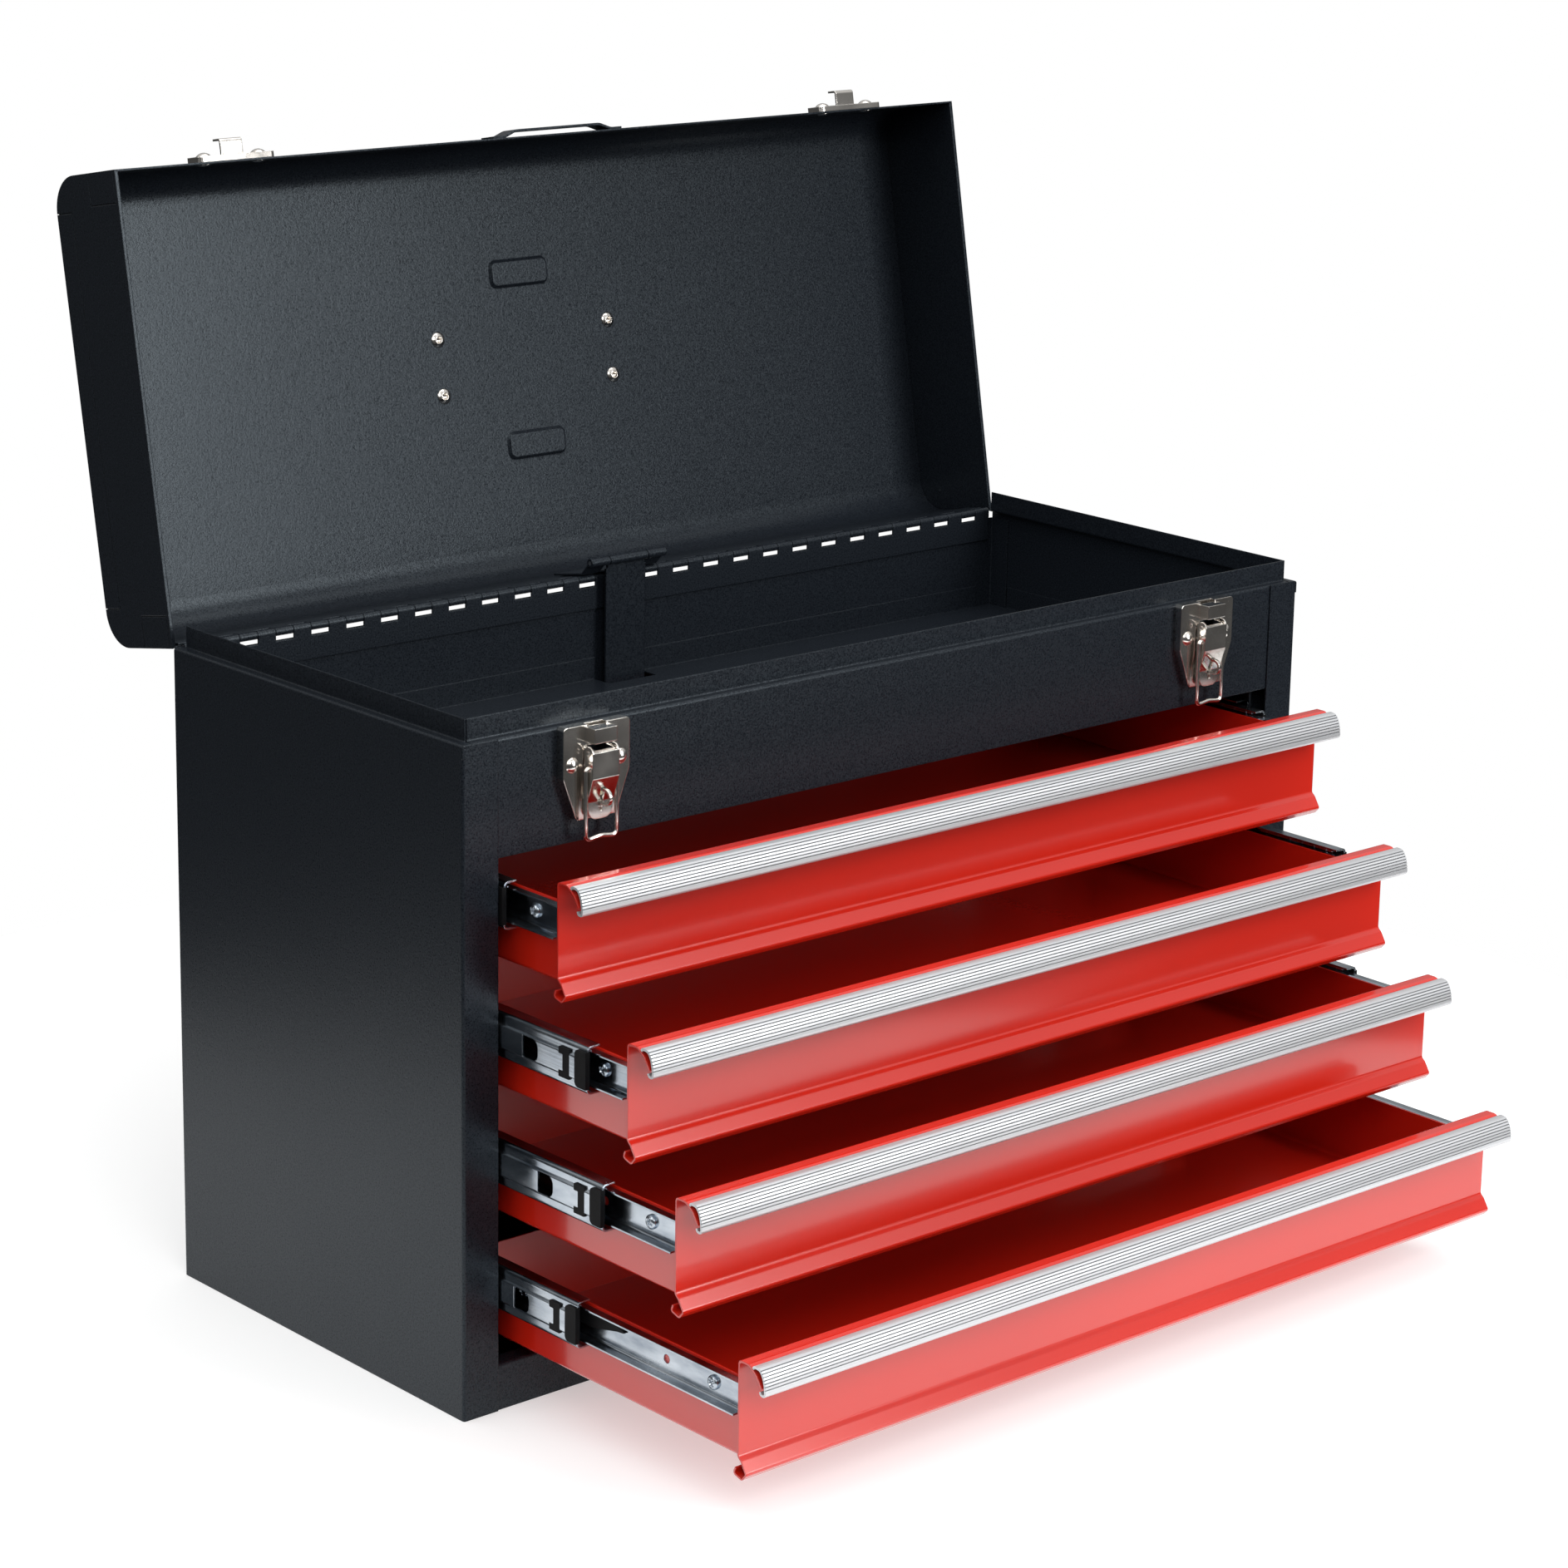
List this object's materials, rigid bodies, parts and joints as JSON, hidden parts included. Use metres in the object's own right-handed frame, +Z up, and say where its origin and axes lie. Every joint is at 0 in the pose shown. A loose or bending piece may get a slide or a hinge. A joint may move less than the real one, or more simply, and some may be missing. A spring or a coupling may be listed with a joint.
{
  "type": "portable tool box with drawers",
  "caption": "Portable steel tool box with a hinged lid over an open tray, and drawers on ball slides that lock when the lid is shut.",
  "frame": {"origin": "middle of the case's underside", "axes": "+X to the right seen from the front, +Y to the back where the lid hinges, +Z up"},
  "size_m": [0.52, 0.4832, 0.5291],
  "materials": {
    "case_paint": "satin fine-textured powder coat",
    "drawer_paint": "gloss",
    "aluminium": "brushed, ribbed",
    "zinc_steel": "zinc plated",
    "nickel": "polished nickel",
    "steel": "bright",
    "black_plastic": "moulded"
  },
  "bodies": {
    "case": {"left_side_panel": "case_paint", "right_side_panel": "case_paint", "back_panel": "case_paint", "bottom_panel": "case_paint", "front_apron": "case_paint", "bottom_rail": "case_paint", "tray_floor": "case_paint", "case_hinge_leaf": "case_paint", "hinge_pin": "steel", "slide_posts": "case_paint", "cabinet_slides": "zinc_steel", "slide_screws": "zinc_steel", "lock_bar_guides": "case_paint", "latch_plates": "nickel", "latch_fasteners": "nickel"},
    "lid": {"lid_shell": "case_paint", "lid_left_cap": "case_paint", "lid_right_cap": "case_paint", "lid_hinge_leaf": "case_paint", "lid_strikes": "nickel", "lid_rivets": "nickel", "handle_brackets": "nickel", "lid_pull_strip": "case_paint", "lock_link_plate": "case_paint", "lock_link_pin": "steel"},
    "lock_bar": {"lock_bar": "case_paint"},
    "carry_handle": {"handle_rod": "nickel", "handle_grip": "black_plastic"},
    "left_lever": {"left_latch_lever": "nickel"},
    "left_bail": {"left_latch_bail": "nickel"},
    "right_lever": {"right_latch_lever": "nickel"},
    "right_bail": {"right_latch_bail": "nickel"},
    "drawer_1": {"drawer_1_pan": "drawer_paint", "drawer_1_front": "drawer_paint", "drawer_1_pull": "aluminium", "drawer_1_inner_slides": "zinc_steel", "drawer_1_screws": "zinc_steel"},
    "drawer_1_middle": {"drawer_1_middle_slides": "zinc_steel", "drawer_1_slide_clips": "black_plastic"},
    "drawer_2": {"drawer_2_pan": "drawer_paint", "drawer_2_front": "drawer_paint", "drawer_2_pull": "aluminium", "drawer_2_inner_slides": "zinc_steel", "drawer_2_screws": "zinc_steel"},
    "drawer_2_middle": {"drawer_2_middle_slides": "zinc_steel", "drawer_2_slide_clips": "black_plastic"},
    "drawer_3": {"drawer_3_pan": "drawer_paint", "drawer_3_front": "drawer_paint", "drawer_3_pull": "aluminium", "drawer_3_inner_slides": "zinc_steel", "drawer_3_screws": "zinc_steel"},
    "drawer_3_middle": {"drawer_3_middle_slides": "zinc_steel", "drawer_3_slide_clips": "black_plastic"},
    "drawer_4": {"drawer_4_pan": "drawer_paint", "drawer_4_front": "drawer_paint", "drawer_4_pull": "aluminium", "drawer_4_inner_slides": "zinc_steel", "drawer_4_screws": "zinc_steel"},
    "drawer_4_middle": {"drawer_4_middle_slides": "zinc_steel", "drawer_4_slide_clips": "black_plastic"}
  },
  "joints": [
    {"name": "lid_hinge", "type": "hinge", "parent": "case", "child": "lid", "pos_m": [0, 0.1092, 0.3057], "axis": [-1, 0, 0], "range_deg": [-100.5, 0]},
    {"name": "lock_bar_pivot", "type": "hinge", "parent": "lid", "child": "lock_bar", "pos_m": [0, 0.10095, 0.3156], "axis": [-1, 0, 0], "range_deg": [0, 100.5]},
    {"name": "handle_swing", "type": "hinge", "parent": "lid", "child": "carry_handle", "pos_m": [0, 0.19227, 0.40218], "axis": [1, 0, 0], "range_deg": [-10.5, 169.5]},
    {"name": "left_lever_swing", "type": "hinge", "parent": "case", "child": "left_lever", "pos_m": [-0.191, -0.1164, 0.2944], "axis": [-1, 0, 0], "range_deg": [0, 100]},
    {"name": "left_bail_swing", "type": "hinge", "parent": "left_lever", "child": "left_bail", "pos_m": [-0.191, -0.1162, 0.2876], "axis": [1, 0, 0], "range_deg": [-165, 0]},
    {"name": "right_lever_swing", "type": "hinge", "parent": "case", "child": "right_lever", "pos_m": [0.191, -0.1164, 0.2944], "axis": [-1, 0, 0], "range_deg": [0, 100]},
    {"name": "right_bail_swing", "type": "hinge", "parent": "right_lever", "child": "right_bail", "pos_m": [0.191, -0.1162, 0.2876], "axis": [1, 0, 0], "range_deg": [-165, 0]},
    {"name": "drawer_1_slide", "type": "slide", "parent": "case", "child": "drawer_1", "axis": [0, -1, 0], "range_m": [-0.04669, 0.14331]},
    {"name": "drawer_1_middle_slide", "type": "slide", "parent": "case", "child": "drawer_1_middle", "axis": [0, -1, 0], "range_m": [-0.0145, 0.04451]},
    {"name": "drawer_2_slide", "type": "slide", "parent": "case", "child": "drawer_2", "axis": [0, -1, 0], "range_m": [-0.09389, 0.09611]},
    {"name": "drawer_2_middle_slide", "type": "slide", "parent": "case", "child": "drawer_2_middle", "axis": [0, -1, 0], "range_m": [-0.07181, 0.07351]},
    {"name": "drawer_3_slide", "type": "slide", "parent": "case", "child": "drawer_3", "axis": [0, -1, 0], "range_m": [-0.1261, 0.0639]},
    {"name": "drawer_3_middle_slide", "type": "slide", "parent": "case", "child": "drawer_3_middle", "axis": [0, -1, 0], "range_m": [-0.0825, 0.04181]},
    {"name": "drawer_4_slide", "type": "slide", "parent": "case", "child": "drawer_4", "axis": [0, -1, 0], "range_m": [-0.16739, 0.02261]},
    {"name": "drawer_4_middle_slide", "type": "slide", "parent": "case", "child": "drawer_4_middle", "axis": [0, -1, 0], "range_m": [-0.066, 0.00891]}
  ],
  "couplings": [
    {"joint": "lock_bar_pivot", "follows": "lid_hinge", "ratio": -1},
    {"joint": "drawer_1_middle_slide", "follows": "drawer_1_slide", "ratio": 0.31055},
    {"joint": "drawer_2_middle_slide", "follows": "drawer_2_slide", "ratio": 0.76479},
    {"joint": "drawer_3_middle_slide", "follows": "drawer_3_slide", "ratio": 0.65427},
    {"joint": "drawer_4_middle_slide", "follows": "drawer_4_slide", "ratio": 0.39426}
  ]
}
